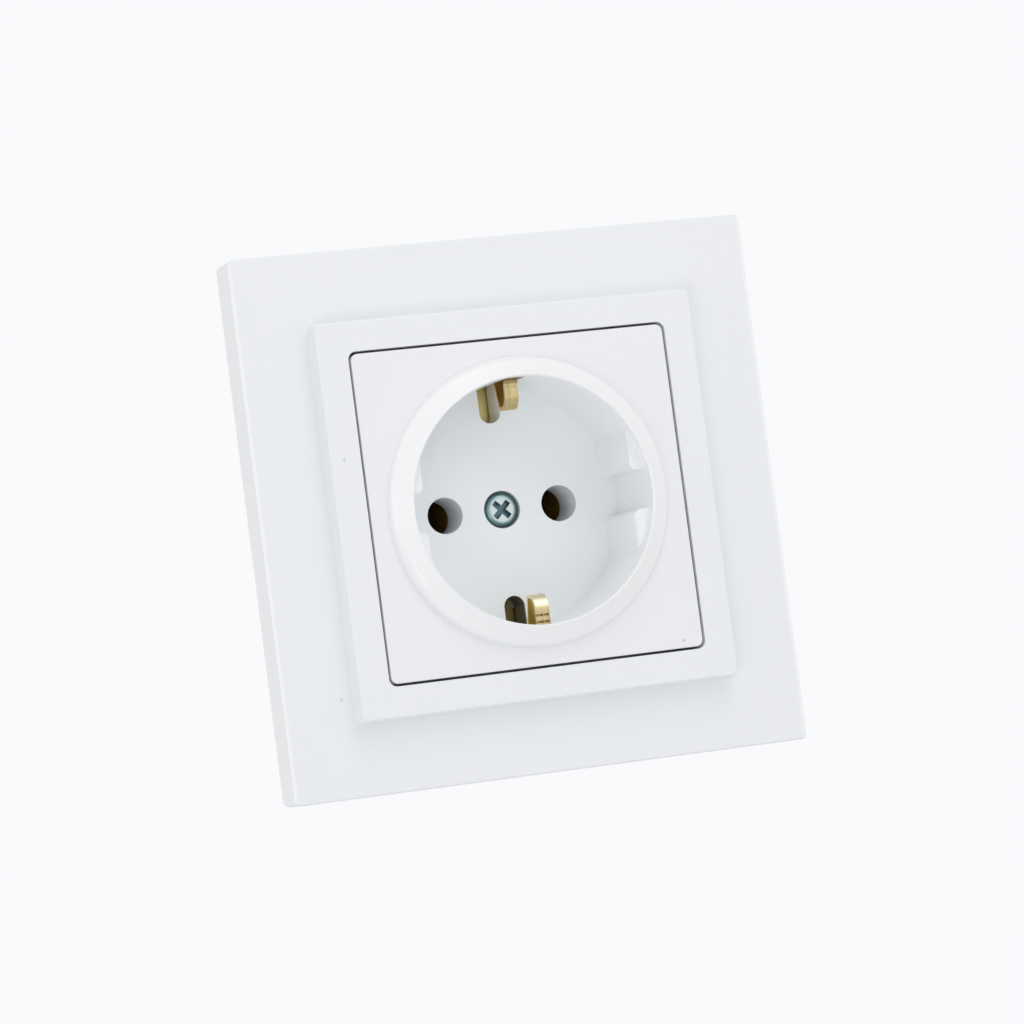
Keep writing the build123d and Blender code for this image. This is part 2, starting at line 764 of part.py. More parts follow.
# Back cover with wire funnels over the clamps
with BuildPart() as back_cover:
    with BuildSketch(level(block_back + back_cover_thick)) as outline:
        Rectangle(block_side, block_side)
        chamfer(outline.vertices(), block_cut)
        with Locations(back_screw_a, back_screw_b):
            Circle(m3_clear_r, mode=Mode.SUBTRACT)
    extrude(amount=back_cover_thick)
    back_rim = back_cover.faces().sort_by(Axis.Y)[-1].outer_wire().edges()
    chamfer(back_rim, back_cover_bevel)
    for name, x, z in clamp_places:
        for hand in (-1, 1):
            place = (x + hand * wire_offset, z - hand * wire_offset)
            with Locations(level(block_back + back_cover_thick)):
                with Locations(place):
                    Cone(
                        wire_r,
                        funnel_r,
                        back_cover_thick,
                        rotation=(180, 0, 0),
                        align=(Align.CENTER, Align.CENTER, Align.MAX),
                        mode=Mode.SUBTRACT,
                    )
back_cover.part.label = "back_cover"
export_step(back_cover.part, "parts/back_cover.step")

# Screws of the back cover
with BuildPart() as back_cover_screws:
    with BuildSketch(level(block_back + back_cover_thick + back_head_height)):
        with Locations(back_screw_a, back_screw_b):
            Circle(back_head_r)
    extrude(amount=back_head_height)
    with BuildSketch(level(block_back + back_cover_thick)):
        with Locations(back_screw_a, back_screw_b):
            Circle(back_pilot_r)
    extrude(amount=back_screw_depth + back_cover_thick)
    with BuildSketch(level(block_back + back_cover_thick + back_head_height)):
        with Locations(back_screw_a, back_screw_b):
            Rectangle(cross_length, cross_width)
    extrude(amount=back_head_height / 2, mode=Mode.SUBTRACT)
back_cover_screws.part.label = "back_cover_screws"
export_step(back_cover_screws.part, "parts/back_cover_screws.step")

# Spreader claws, each with a rolled eye, a leg with a window, a toothed foot and a fork
eye_half = lug_inner - claw_eye_gap
foot_back_y = claw_pin_y + claw_reach
for side, hand in ((-1, "left"), (1, "right")):
    with BuildPart() as claw:
        with BuildSketch(Plane.XY.offset(-eye_half)):
            with Locations((side * claw_pin_x, claw_pin_y)):
                Circle(claw_eye_r)
            with Locations(
                (side * (claw_pin_x - claw_eye_r + claw_sheet / 2), claw_pin_y + claw_reach / 2)
            ):
                Rectangle(claw_sheet, claw_reach)
            foot_x = claw_pin_x - claw_eye_r + claw_foot / 2
            with Locations((side * foot_x, foot_back_y - claw_sheet / 2)):
                Rectangle(claw_foot, claw_sheet)
        extrude(amount=2 * eye_half)
        # Window in the leg for the claw screw
        with BuildSketch(Plane.YZ.offset(side * (claw_pin_x - claw_eye_r))):
            with Locations((claw_pin_y + claw_eye_r + claw_reach / 2 - claw_window_inset, 0)):
                Rectangle(claw_reach - 2 * claw_window_inset, claw_window)
        extrude(amount=side * claw_sheet, mode=Mode.SUBTRACT)
        # Teeth along the edge of the foot
        with BuildSketch(level(foot_back_y)):
            with GridLocations(0, 2 * eye_half / (claw_teeth + 1), 1, claw_teeth):
                with Locations((side * (claw_pin_x - claw_eye_r + claw_foot), 0)):
                    RegularPolygon(claw_tooth, 4, rotation=0)
        extrude(amount=claw_sheet, mode=Mode.SUBTRACT)
        # Fork that reaches past the claw screw
        fork_plane = Plane(
            origin=(side * claw_pin_x, claw_pin_y, -claw_fork_width / 2),
            x_dir=Vector(side, 0, 0).rotate(Axis.Z, side * claw_swing),
            z_dir=(0, 0, 1),
        )
        with BuildSketch(fork_plane):
            with Locations((claw_fork_length / 2, 0)):
                Rectangle(claw_fork_length, claw_sheet)
        extrude(amount=claw_fork_width)
        with BuildSketch(fork_plane.offset((claw_fork_width - claw_fork_slot) / 2)):
            with Locations((claw_fork_root + claw_fork_length / 2, 0)):
                Rectangle(claw_fork_length, 2 * claw_sheet)
        extrude(amount=claw_fork_slot, mode=Mode.SUBTRACT)
        with BuildSketch(Plane.XY.offset(-eye_half)):
            with Locations((side * claw_pin_x, claw_pin_y)):
                Circle(claw_pin_r + claw_running_fit)
        extrude(amount=2 * eye_half, mode=Mode.SUBTRACT)
    claw.part.label = "claw_" + hand
    export_step(claw.part, "parts/claw_" + hand + ".step")

    # Pin the claw turns on, riveted over at both ends
    pin_half = lug_inner + lug_thick
    with BuildPart() as pin:
        with BuildSketch(Plane.XY.offset(-pin_half)):
            with Locations((side * claw_pin_x, claw_pin_y)):
                Circle(claw_pin_r)
        extrude(amount=2 * pin_half)
        for end in (pin_half, -pin_half - pin_rivet_thick):
            with BuildSketch(Plane.XY.offset(end)):
                with Locations((side * claw_pin_x, claw_pin_y)):
                    Circle(pin_rivet_r)
            extrude(amount=pin_rivet_thick)
    pin.part.label = "claw_pin_" + hand
    export_step(pin.part, "parts/claw_pin_" + hand + ".step")

# Claw screws with their nuts behind the forks
nut_front_y = (
    claw_pin_y
    + claw_fork_length * math.sin(math.radians(claw_swing))
    + claw_sheet / 2
    + claw_nut_gap
)
with BuildPart() as claw_screws:
    for side in (-1, 1):
        with BuildSketch(level(plate_front_y)):
            with Locations((side * claw_screw_x, 0)):
                Circle(claw_head_r)
        extrude(amount=claw_head_height)
        with BuildSketch(level(claw_screw_length)):
            with Locations((side * claw_screw_x, 0)):
                Circle(m3_shank_r)
        extrude(amount=claw_screw_length + plate_thick)
        with BuildSketch(level(plate_front_y - claw_head_height)):
            with Locations((side * claw_screw_x, 0)):
                Rectangle(cross_width, cross_length)
        extrude(amount=-claw_head_height / 2, mode=Mode.SUBTRACT)
        with BuildSketch(level(nut_front_y + claw_nut_thick)):
            with Locations((side * claw_screw_x, 0)):
                Rectangle(2 * claw_nut_half, 2 * claw_nut_half)
        extrude(amount=claw_nut_thick)
claw_screws.part.label = "claw_screws"
export_step(claw_screws.part, "parts/claw_screws.step")
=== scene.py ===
"""Wall socket: looks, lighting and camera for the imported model."""

from types import SimpleNamespace
from typing import NamedTuple

import bpy
from mathutils import Matrix, Vector

bl_info = {
    "name": "Wall socket",
    "version": (1, 0, 0),
    "blender": (4, 5, 0),
    "location": "View3D > Sidebar > Wall socket",
    "description": "Dresses a flush wall socket with plastics, brass and steel, and lights it",
    "category": "Object",
}

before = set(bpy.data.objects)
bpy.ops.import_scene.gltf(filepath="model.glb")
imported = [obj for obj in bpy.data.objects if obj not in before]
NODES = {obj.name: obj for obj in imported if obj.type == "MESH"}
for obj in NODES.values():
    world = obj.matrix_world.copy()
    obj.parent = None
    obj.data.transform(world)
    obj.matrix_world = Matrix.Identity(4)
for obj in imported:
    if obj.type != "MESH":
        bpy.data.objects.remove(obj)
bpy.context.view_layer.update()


class Finish(NamedTuple):
    """Numbers of one finish; the bump's depth is in metres."""

    drift: float
    grain_scale: float
    rough_low: float
    rough_high: float
    bump: float
    depth: float


FRAME_PLASTIC = Finish(0.012, 900.0, 0.30, 0.36, 0.04, 0.00004)
COVER_PLASTIC = Finish(0.010, 900.0, 0.26, 0.32, 0.04, 0.00004)
MATT_MOULDING = Finish(0.12, 500.0, 0.48, 0.60, 0.25, 0.0001)
STAMPED_BRASS = Finish(0.16, 1400.0, 0.24, 0.40, 0.10, 0.00005)
DULLED_BRASS = Finish(0.16, 1400.0, 0.34, 0.50, 0.10, 0.00005)
SCREW_HEAD_ZINC = Finish(0.10, 1800.0, 0.22, 0.34, 0.10, 0.00004)
ZINC_PLATING = Finish(0.10, 1800.0, 0.26, 0.38, 0.10, 0.00004)
PLATED_SHEET = Finish(0.14, 600.0, 0.34, 0.48, 0.12, 0.00006)
SPRING_STEEL = Finish(0.10, 900.0, 0.30, 0.42, 0.08, 0.00004)

# Noise of the shared surface group, and the refraction of the white plastics
DRIFT_SCALE = 30.0
DRIFT_DETAIL = 3.0
GRAIN_DETAIL = 2.0
PLASTIC_IOR = 1.5

# Metres to millimetres, and the axes that the front plane keeps
MM_PER_METRE = 1000.0
FRONT_AXES = (1.0, 0.0, 1.0)

# Tones that stay fixed beside the colour settings
# Painted light on the frame's side walls
FLANK_PAINTED_LIGHT = (0.975, 0.985, 0.99)
# Painted sheen on the collar
COLLAR_PAINTED_SHEEN = (0.985, 0.985, 0.99)
# Painted shade on the walls of the lower slot
LOWER_SLOT_PAINTED_SHADE = (0.17, 0.18, 0.16)
DUST_GREY = (0.20, 0.20, 0.20)
CONTACT_BRASS = (0.88, 0.68, 0.24)
# Painted highlight on the lower loop's tip
TIP_HIGHLIGHT_BRASS = (0.78, 0.70, 0.50)
STREAK_BROWN = (0.44, 0.35, 0.13)
# Painted shade in the lower loop's grooves and on the upper loop's top
PAINTED_SHADE_BROWN = (0.16, 0.10, 0.035)
# Painted shade inside the lower and upper loops
LOWER_LOOP_INSIDE_SHADE = (0.85, 0.62, 0.16)
UPPER_LOOP_INSIDE_SHADE = (0.60, 0.37, 0.08)
# Painted shade on the bridge's lower half and painted light on its upper half
LOWER_BRIDGE_SHADE = (0.28, 0.21, 0.08)
UPPER_BRIDGE_LIGHT = (1.0, 0.87, 0.40)
SCREW_CROWN = (0.62, 0.69, 0.68)
# Painted dark reflection on the screw's round edge
SCREW_EDGE_REFLECTION = (0.16, 0.27, 0.28)
# Painted shade in the screw's cross
SCREW_CROSS_SHADE = (0.11, 0.17, 0.19)
# Olive lightened as painted light for the shaded strip holder
HOLDER_PAINTED_LIGHT_OLIVE = (0.55, 0.52, 0.30)
DOME_WHITE = (0.985, 0.985, 1.0)

# Where a blend starts and where it is full, in millimetres
FLANK_X = (41.5, 42.0)
RECESS_REACH = (19.7, 19.4)
RECESS_Y = (-13.6, -12.6)
COLLAR_REACH = (23.4, 22.4)
COLLAR_Y = (-11.4, -12.2)
SLOT_WALL_Z = (-12.4, -12.8)
SLOT_WALL_Y = (3.15, 3.6)
SCREW_EDGE_REACH = (1.8, 2.2)
SCREW_CROSS_REACH = (2.1, 1.9)
SCREW_CROSS_Y = (3.34, 3.46)
DUST_AWAY = (0.34, 0.12)

# Grains of dust: x and z in millimetres, and strength
FRAME_DUST = ((-28.6, 9.4, 0.30), (-32.9, -26.9, 0.28))
COVER_DUST = ((22.4, -24.4, 0.40),)

# Earth strip: blends in millimetres, "along" being the distance past a loop's first groove
UPPER_HALF_Z = (-0.5, 0.5)
LOWER_GROOVE_HEIGHT = 17.72
UPPER_GROOVE_RISE = 0.53
HALF_GROOVE_PITCH = 0.525
GROOVE_NEAR = (0.24, 0.12)
GROOVES_ALONG = (-0.3, -0.25)
TIP_ALONG = (-0.6, -2.0)
SHADED_TOP_ALONG = (0.35, 0.50)
FRONT_Y = (-8.5, -8.9)
# Where the painted shade inside the loops starts
LOOP_SHADE_Y = (-8.7, -7.2)
BRIDGE_Y = (-1.0, 4.0)

# Earth strip: streak noise, shares and clear coat
STREAK_STRETCH = (4200.0, 200.0, 200.0)
STREAK_NOISE = (0.36, 0.72)
# Noise that breaks up the painted shade in the lower loop's grooves
GROOVE_SHADE_NOISE = (0.30, 0.50)
STREAK_SHARE = 0.75
# Share of the painted highlight on the lower tip
TIP_HIGHLIGHT_SHARE = 0.8
SHADED_TOP_SHARE = 0.65
STRIP_COAT = 0.35
STRIP_COAT_ROUGHNESS = 0.25

# Soft lamps: name, place and side in metres, and share of the lamp power
LAMPS = (
    ("Soft top", (0.02, -0.34, 0.60), 0.32, 0.36),
    ("Soft key", (0.20, -0.50, 0.38), 0.30, 0.25),
    ("Soft front", (-0.38, -1.03, 0.0), 0.5, 0.26),
    ("Soft side", (-0.88, -0.19, 0.10), 0.4, 0.45),
    ("Soft left", (-0.53, -0.68, -0.39), 0.43, 0.80),
    ("Soft right", (0.90, -0.63, 0.10), 0.5, 0.38),
    ("Soft low", (0.43, -0.75, -0.40), 0.43, 0.20),
)

# Floor and camera: lengths in metres, but the sensor's width in millimetres
FLOOR_SIDE = 2.4
FLOOR_ROUGHNESS = 0.9
CAMERA_PLACE = (-0.19035, -0.5964, -0.0330)
CAMERA_RIGHT = (0.94650, -0.29607, -0.12837)
CAMERA_UP = (0.10687, -0.08778, 0.99039)
CAMERA_CLIP_START = 0.01
SENSOR_WIDTH = 36.0


class SocketColours(bpy.types.PropertyGroup):
    """Colours of the finishes."""

    frame_white: bpy.props.FloatVectorProperty(
        name="Frame white",
        description="Moulded plastic of the decor frame",
        default=(0.897, 0.912, 0.920),
        subtype="COLOR",
        min=0.0,
        max=1.0,
    )
    cover_white: bpy.props.FloatVectorProperty(
        name="Cover white",
        description="Moulded plastic of the cover outside its recess",
        default=(0.908, 0.915, 0.926),
        subtype="COLOR",
        min=0.0,
        max=1.0,
    )
    # Painted light: a lighter, bluer white on the recess faces stands in for light there
    recess_painted_light: bpy.props.FloatVectorProperty(
        name="Recess white",
        description="The same plastic on the smoother mould faces inside the recess",
        default=(0.955, 0.981, 0.994),
        subtype="COLOR",
        min=0.0,
        max=1.0,
    )
    base_grey: bpy.props.FloatVectorProperty(
        name="Base grey",
        description="Thermoset of the socket base and back cover",
        default=(0.060, 0.063, 0.068),
        subtype="COLOR",
        min=0.0,
        max=1.0,
    )
    brass: bpy.props.FloatVectorProperty(
        name="Brass",
        description="Stamped brass of the earth strip's fronts, the clamps and the bush",
        default=(0.66, 0.54, 0.28),
        subtype="COLOR",
        min=0.0,
        max=1.0,
    )
    zinc: bpy.props.FloatVectorProperty(
        name="Zinc",
        description="Zinc plated steel of the support plate, claws, pins, rivets and inner screws",
        default=(0.60, 0.64, 0.65),
        subtype="COLOR",
        min=0.0,
        max=1.0,
    )
    spring_steel: bpy.props.FloatVectorProperty(
        name="Spring steel",
        description="Bare steel of the contact springs",
        default=(0.42, 0.42, 0.43),
        subtype="COLOR",
        min=0.0,
        max=1.0,
    )


class SocketStage(bpy.types.PropertyGroup):
    """Floor, light and camera."""

    backdrop: bpy.props.FloatVectorProperty(
        name="Backdrop",
        description="Colour of the backdrop and floor",
        default=(0.947, 0.956, 0.974),
        subtype="COLOR",
        min=0.0,
        max=1.0,
    )
    floor_drop: bpy.props.FloatProperty(
        name="Floor drop",
        description="How far the floor lies below the middle of the socket",
        default=0.45,
        subtype="DISTANCE",
        unit="LENGTH",
    )
    dome_strength: bpy.props.FloatProperty(
        name="Dome strength",
        description="Even light from all round",
        default=0.57,
        min=0.0,
    )
    lamp_power: bpy.props.FloatProperty(
        name="Lamp power",
        description="Power that each soft lamp takes its share of",
        default=1.72,
        min=0.0,
        unit="POWER",
    )
    lens: bpy.props.FloatProperty(
        name="Lens",
        description="Focal length on a 36 mm sensor",
        default=139.6,
        min=1.0,
        unit="CAMERA",
    )


def colours():
    return bpy.context.scene.socket_colours


def new_material(name):
    """A material with only a Principled shader."""
    material = bpy.data.materials.new(name)
    material.use_nodes = True
    return material


def shader_of(material):
    return material.node_tree.nodes["Principled BSDF"]


def surface_group():
    """Slow drift of tone and roughness, and fine grain, shared by every finish."""
    group = bpy.data.node_groups.get("Socket surface")
    if group:
        return group
    group = bpy.data.node_groups.new("Socket surface", "ShaderNodeTree")
    face = group.interface
    face.new_socket("Colour", in_out="INPUT", socket_type="NodeSocketColor")
    for name in ("Drift", "Grain scale", "Rough low", "Rough high"):
        face.new_socket(name, in_out="INPUT", socket_type="NodeSocketFloat")
    face.new_socket("Colour", in_out="OUTPUT", socket_type="NodeSocketColor")
    for name in ("Roughness", "Height"):
        face.new_socket(name, in_out="OUTPUT", socket_type="NodeSocketFloat")
    nodes = group.nodes
    links = group.links
    entry = nodes.new("NodeGroupInput")
    leave = nodes.new("NodeGroupOutput")
    place = nodes.new("ShaderNodeTexCoord")
    drift = nodes.new("ShaderNodeTexNoise")
    drift.inputs["Scale"].default_value = DRIFT_SCALE
    drift.inputs["Detail"].default_value = DRIFT_DETAIL
    links.new(place.outputs["Object"], drift.inputs["Vector"])

    # The tone is multiplied by 1 + drift * (noise - 0.5)
    lift = nodes.new("ShaderNodeMath")
    lift.operation = "MULTIPLY_ADD"
    links.new(entry.outputs["Drift"], lift.inputs[0])
    lift.inputs[1].default_value = -0.5
    lift.inputs[2].default_value = 1.0
    span = nodes.new("ShaderNodeMath")
    span.operation = "MULTIPLY_ADD"
    links.new(drift.outputs["Fac"], span.inputs[0])
    links.new(entry.outputs["Drift"], span.inputs[1])
    links.new(lift.outputs[0], span.inputs[2])
    grey = nodes.new("ShaderNodeCombineColor")
    for channel in ("Red", "Green", "Blue"):
        links.new(span.outputs[0], grey.inputs[channel])
    tone = nodes.new("ShaderNodeMix")
    tone.data_type = "RGBA"
    tone.blend_type = "MULTIPLY"
    tone.inputs["Factor"].default_value = 1.0
    links.new(entry.outputs["Colour"], tone.inputs["A"])
    links.new(grey.outputs["Color"], tone.inputs["B"])
    links.new(tone.outputs["Result"], leave.inputs["Colour"])

    grain = nodes.new("ShaderNodeTexNoise")
    grain.inputs["Detail"].default_value = GRAIN_DETAIL
    links.new(place.outputs["Object"], grain.inputs["Vector"])
    links.new(entry.outputs["Grain scale"], grain.inputs["Scale"])
    links.new(grain.outputs["Fac"], leave.inputs["Height"])
    rough = nodes.new("ShaderNodeMapRange")
    links.new(drift.outputs["Fac"], rough.inputs["Value"])
    links.new(entry.outputs["Rough low"], rough.inputs["To Min"])
    links.new(entry.outputs["Rough high"], rough.inputs["To Max"])
    links.new(rough.outputs["Result"], leave.inputs["Roughness"])
    return group


def surfaced(name, colour, finish):
    """A material whose colour, roughness and bump come from the shared surface group."""
    material = new_material(name)
    shader = shader_of(material)
    nodes = material.node_tree.nodes
    links = material.node_tree.links
    surface = nodes.new("ShaderNodeGroup")
    surface.node_tree = surface_group()
    surface.inputs["Colour"].default_value = (*colour, 1.0)
    surface.inputs["Drift"].default_value = finish.drift
    surface.inputs["Grain scale"].default_value = finish.grain_scale
    surface.inputs["Rough low"].default_value = finish.rough_low
    surface.inputs["Rough high"].default_value = finish.rough_high
    links.new(surface.outputs["Colour"], shader.inputs["Base Color"])
    links.new(surface.outputs["Roughness"], shader.inputs["Roughness"])
    ripple = nodes.new("ShaderNodeBump")
    ripple.inputs["Strength"].default_value = finish.bump
    ripple.inputs["Distance"].default_value = finish.depth
    links.new(surface.outputs["Height"], ripple.inputs["Height"])
    links.new(ripple.outputs["Normal"], shader.inputs["Normal"])
    return material


def plastic(name, colour, finish):
    """A surfaced material with the refraction of the white plastics."""
    material = surfaced(name, colour, finish)
    shader_of(material).inputs["IOR"].default_value = PLASTIC_IOR
    return material


def metal(name, colour, finish):
    """A surfaced material of bare metal."""
    material = surfaced(name, colour, finish)
    shader_of(material).inputs["Metallic"].default_value = 1.0
    return material


def place_mm(tree):
    """Place on the object in millimetres.

    x, y and z are its axes, reach its distance from the middle axis, and flat its place in the front plane.
    """
    place = tree.nodes.new("ShaderNodeTexCoord")
    scaled = tree.nodes.new("ShaderNodeVectorMath")
    scaled.operation = "SCALE"
    scaled.inputs["Scale"].default_value = MM_PER_METRE
    tree.links.new(place.outputs["Object"], scaled.inputs[0])
    axes = tree.nodes.new("ShaderNodeSeparateXYZ")
    tree.links.new(scaled.outputs["Vector"], axes.inputs["Vector"])
    flat = tree.nodes.new("ShaderNodeVectorMath")
    flat.operation = "MULTIPLY"
    flat.inputs[1].default_value = FRONT_AXES
    tree.links.new(scaled.outputs["Vector"], flat.inputs[0])
    reach = tree.nodes.new("ShaderNodeVectorMath")
    reach.operation = "LENGTH"
    tree.links.new(flat.outputs["Vector"], reach.inputs[0])
    return SimpleNamespace(
        x=axes.outputs["X"],
        y=axes.outputs["Y"],
        z=axes.outputs["Z"],
        reach=reach.outputs["Value"],
        flat=flat.outputs["Vector"],
    )


def ramp(tree, value, span):
    """Rises from 0 at the span's start to 1 at its end; falls where the start is the larger."""
    step = tree.nodes.new("ShaderNodeMapRange")
    step.inputs["From Min"].default_value, step.inputs["From Max"].default_value = span
    tree.links.new(value, step.inputs["Value"])
    return step.outputs["Result"]


def join(tree, operation, first, second=0.0):
    """Joins two values, each a socket or a number, with a math operation."""
    node = tree.nodes.new("ShaderNodeMath")
    node.operation = operation
    for socket, value in zip(node.inputs, (first, second)):
        if isinstance(value, float):
            socket.default_value = value
        else:
            tree.links.new(value, socket)
    return node.outputs[0]


def times(tree, first, second):
    """Multiplies two values."""
    return join(tree, "MULTIPLY", first, second)


def zone(tree, first, first_span, second, second_span):
    """Multiplies two ramps, so it is 1 only where both are."""
    return times(tree, ramp(tree, first, first_span), ramp(tree, second, second_span))


def blend(tree, factor, under, over):
    """Mixes two colours, each a socket or three numbers, by a factor."""
    mix = tree.nodes.new("ShaderNodeMix")
    mix.data_type = "RGBA"
    tree.links.new(factor, mix.inputs["Factor"])
    for name, value in (("A", under), ("B", over)):
        if isinstance(value, bpy.types.NodeSocket):
            tree.links.new(value, mix.inputs[name])
        else:
            mix.inputs[name].default_value = (*value, 1.0)
    return mix.outputs["Result"]


def dusted(tree, flat, grains, tone):
    """Adds faint grains of dust to a colour."""
    for x, z, strength in grains:
        away = tree.nodes.new("ShaderNodeVectorMath")
        away.operation = "DISTANCE"
        away.inputs[1].default_value = (x, 0.0, z)
        tree.links.new(flat, away.inputs[0])
        grain = times(tree, ramp(tree, away.outputs["Value"], DUST_AWAY), strength)
        tone = blend(tree, grain, tone, DUST_GREY)
    return tone


def recolour(material, colour):
    """Feeds a colour into the shared surface group of a material."""
    surface = next(node for node in material.node_tree.nodes if node.type == "GROUP")
    material.node_tree.links.new(colour, surface.inputs["Colour"])


def dress(material, *names):
    """Puts a finish on the named pieces of the model."""
    for name in names:
        piece = NODES[name]
        piece.data.materials.clear()
        piece.data.materials.append(material)


class SOCKET_OT_frame(bpy.types.Operator):
    """White moulded plastic on the decor frame, with painted light making its flanks a little lighter"""

    bl_idname = "socket.frame"
    bl_label = "Decor frame"

    def execute(self, context):
        white = plastic("Frame plastic", colours().frame_white, FRAME_PLASTIC)
        tree = white.node_tree
        at = place_mm(tree)
        # Painted light: the flanks are tinted lighter, as if lit from the side
        flank_light = ramp(tree, join(tree, "ABSOLUTE", at.x), FLANK_X)
        tone = blend(tree, flank_light, colours().frame_white, FLANK_PAINTED_LIGHT)
        recolour(white, dusted(tree, at.flat, FRAME_DUST, tone))
        dress(white, "decor_frame")
        return {"FINISHED"}


class SOCKET_OT_cover(bpy.types.Operator):
    """White moulded plastic on the cover, its collar and its recess, with a painted sheen on the collar,
    painted light in the recess and painted shade on the lower slot's walls
    """

    bl_idname = "socket.cover"
    bl_label = "Cover"

    def execute(self, context):
        white = plastic("Cover plastic", colours().cover_white, COVER_PLASTIC)
        tree = white.node_tree
        at = place_mm(tree)
        # Painted light: the recess faces get a lighter, bluer white than the cover
        recess = zone(tree, at.reach, RECESS_REACH, at.y, RECESS_Y)
        tone = blend(tree, recess, colours().cover_white, colours().recess_painted_light)
        # Painted sheen: the collar is tinted lighter than the cover
        collar = zone(tree, at.reach, COLLAR_REACH, at.y, COLLAR_Y)
        tone = blend(tree, collar, tone, COLLAR_PAINTED_SHEEN)
        # Painted shade: the walls of the lower slot are darkened as if in shadow
        lower_slot_shade = zone(tree, at.z, SLOT_WALL_Z, at.y, SLOT_WALL_Y)
        tone = blend(tree, lower_slot_shade, tone, LOWER_SLOT_PAINTED_SHADE)
        recolour(white, dusted(tree, at.flat, COVER_DUST, tone))
        dress(white, "cover_plate")
        return {"FINISHED"}


def strip_brass():
    """Brass of the earth strip: pale fronts with lengthwise streaks, a painted highlight on the lower tip,
    painted shade in the grooves, on the upper top and golden brown inside the loops, painted light and
    shade on the bridge.
    """
    brass = metal("Strip brass", colours().brass, STAMPED_BRASS)
    shader = shader_of(brass)
    shader.inputs["Coat Weight"].default_value = STRIP_COAT
    shader.inputs["Coat Roughness"].default_value = STRIP_COAT_ROUGHNESS
    tree = brass.node_tree
    at = place_mm(tree)

    # Streaks along the strip
    place = tree.nodes.new("ShaderNodeTexCoord")
    stretch = tree.nodes.new("ShaderNodeMapping")
    stretch.inputs["Scale"].default_value = STREAK_STRETCH
    tree.links.new(place.outputs["Object"], stretch.inputs["Vector"])
    streak = tree.nodes.new("ShaderNodeTexNoise")
    streak.inputs["Scale"].default_value = 1.0
    tree.links.new(stretch.outputs["Vector"], streak.inputs["Vector"])
    noise = streak.outputs["Fac"]
    streaks = times(tree, ramp(tree, noise, STREAK_NOISE), STREAK_SHARE)

    # Distance past the first pressed groove of each loop, negative towards its tip
    upper = ramp(tree, at.z, UPPER_HALF_Z)
    lower = join(tree, "SUBTRACT", 1.0, upper)
    height = join(tree, "ABSOLUTE", at.z)
    groove_height = join(tree, "ADD", times(tree, upper, UPPER_GROOVE_RISE), LOWER_GROOVE_HEIGHT)
    along = join(tree, "SUBTRACT", height, groove_height)

    # Painted highlight: the lower tip is painted pale, with few streaks left
    tip = times(tree, ramp(tree, along, TIP_ALONG), lower)
    tip_highlight = times(tree, tip, TIP_HIGHLIGHT_SHARE)
    streaks = times(tree, streaks, join(tree, "SUBTRACT", 1.0, tip_highlight))
    front_tone = blend(tree, tip, colours().brass, TIP_HIGHLIGHT_BRASS)
    tone = blend(tree, streaks, front_tone, STREAK_BROWN)

    # Painted shade: golden brown inside the loops; painted shade and light on the bridge, dark in its lower
    # half and yellow in its upper
    inside = blend(tree, upper, LOWER_LOOP_INSIDE_SHADE, UPPER_LOOP_INSIDE_SHADE)
    tone = blend(tree, ramp(tree, at.y, LOOP_SHADE_Y), tone, inside)
    bridge_light_and_shade = blend(tree, upper, LOWER_BRIDGE_SHADE, UPPER_BRIDGE_LIGHT)
    tone = blend(tree, ramp(tree, at.y, BRIDGE_Y), tone, bridge_light_and_shade)

    # On the fronts: painted shade as broken brown lines in the lower loop's grooves, and painted shadow on
    # the upper loop's top
    near = join(tree, "PINGPONG", along, HALF_GROOVE_PITCH)
    groove_shade = times(tree, zone(tree, near, GROOVE_NEAR, along, GROOVES_ALONG), lower)
    groove_shade = times(tree, groove_shade, ramp(tree, noise, GROOVE_SHADE_NOISE))
    top_share = times(tree, upper, SHADED_TOP_SHARE)
    top = times(tree, ramp(tree, along, SHADED_TOP_ALONG), top_share)
    painted_shade = times(tree, join(tree, "MAXIMUM", groove_shade, top), ramp(tree, at.y, FRONT_Y))
    recolour(brass, blend(tree, painted_shade, tone, PAINTED_SHADE_BROWN))
    return brass


class SOCKET_OT_brass(bpy.types.Operator):
    """Brass on the earth strip, the pole contacts, the clamps and the bush"""

    bl_idname = "socket.brass"
    bl_label = "Brass contacts"

    def execute(self, context):
        dress(strip_brass(), "earth_contact")
        dress(
            metal("Stamped brass", colours().brass, STAMPED_BRASS),
            "terminal_clamp_live",
            "terminal_clamp_neutral",
            "terminal_clamp_earth",
            "centre_insert",
        )
        dress(metal("Dulled brass", CONTACT_BRASS, DULLED_BRASS), "live_contact", "neutral_contact")
        return {"FINISHED"}


def screw_head_zinc():
    """Zinc on the cover screw: bright on the crown, a dark blue-green painted reflection on its round edge
    and painted shade in its cross.
    """
    zinc = metal("Cover screw zinc", colours().zinc, SCREW_HEAD_ZINC)
    tree = zinc.node_tree
    at = place_mm(tree)
    # Painted reflection on the round edge and painted shade in the cross
    edge = ramp(tree, at.reach, SCREW_EDGE_REACH)
    cross = zone(tree, at.y, SCREW_CROSS_Y, at.reach, SCREW_CROSS_REACH)
    tone = blend(tree, edge, SCREW_CROWN, SCREW_EDGE_REFLECTION)
    recolour(zinc, blend(tree, cross, tone, SCREW_CROSS_SHADE))
    return zinc


class SOCKET_OT_fasteners(bpy.types.Operator):
    """Zinc plating on screws, rivets and claw pins"""

    bl_idname = "socket.fasteners"
    bl_label = "Screws, rivets and pins"

    def execute(self, context):
        dress(screw_head_zinc(), "cover_screw")
        dress(
            metal("Zinc plating", colours().zinc, ZINC_PLATING),
            "terminal_screws",
            "back_cover_screws",
            "claw_screws",
            "claw_pin_left",
            "claw_pin_right",
            "yoke_rivets",
        )
        return {"FINISHED"}


